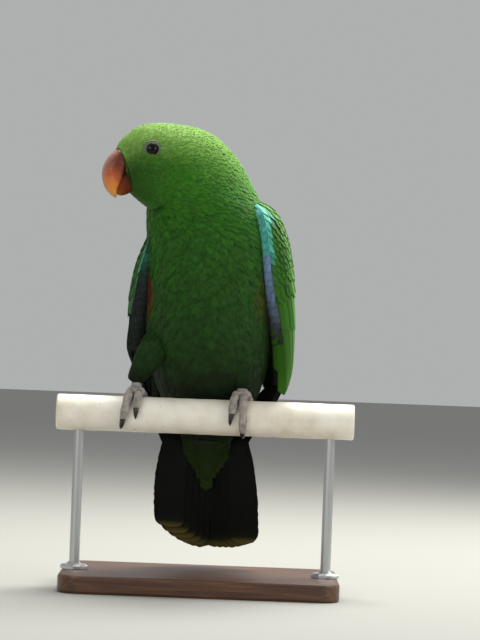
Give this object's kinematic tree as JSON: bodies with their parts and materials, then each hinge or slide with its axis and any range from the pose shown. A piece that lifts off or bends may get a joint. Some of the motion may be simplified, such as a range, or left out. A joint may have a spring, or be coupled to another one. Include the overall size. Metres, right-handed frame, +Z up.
{
  "type": "perching parrot display model",
  "caption": "Life-size still model of a green male eclectus parrot gripping a short length of white perch on a plain wooden and steel display stand.",
  "frame": {"origin": "middle of the flat underside of the stand's base", "axes": "+Z up; the breast faces -Y; the bird's left side is towards +X, and the perch runs along X"},
  "size_m": [0.232, 0.15, 0.3631],
  "materials": {
    "head_plumage": "soft feathers, lit green",
    "neck_plumage": "soft feathers, green",
    "body_plumage": "soft feathers, dark green",
    "wing_plumage": "smooth vaned feathers, green with blue edge",
    "tail_plumage": "long vaned feathers, green above and black below, pale tip",
    "upper_bill_horn": "smooth horn, orange with a yellow tip",
    "lower_bill_horn": "smooth black horn",
    "eye": "wet dark eye",
    "foot_skin": "scaled grey skin",
    "claw_horn": "near-black horn",
    "perch_paint": "worn white paint on a round wooden pole",
    "stand_wood": "oiled dark wood",
    "stand_steel": "brushed round bar"
  },
  "bodies": {
    "root": {"head": "head_plumage", "neck": "neck_plumage", "torso": "body_plumage", "bill_upper": "upper_bill_horn", "bill_lower": "lower_bill_horn", "tail": "tail_plumage", "eye_l": "eye", "eye_r": "eye", "wing_l": "wing_plumage", "wing_r": "wing_plumage", "thigh_l": "body_plumage", "thigh_r": "body_plumage", "foot_l": "foot_skin", "foot_r": "foot_skin", "claw_l_1": "claw_horn", "claw_l_2": "claw_horn", "claw_l_3": "claw_horn", "claw_l_4": "claw_horn", "claw_r_1": "claw_horn", "claw_r_2": "claw_horn", "claw_r_3": "claw_horn", "claw_r_4": "claw_horn", "perch": "perch_paint", "stand_base": "stand_wood", "stand_rod_l": "stand_steel", "stand_rod_r": "stand_steel"}
  },
  "joints": []
}
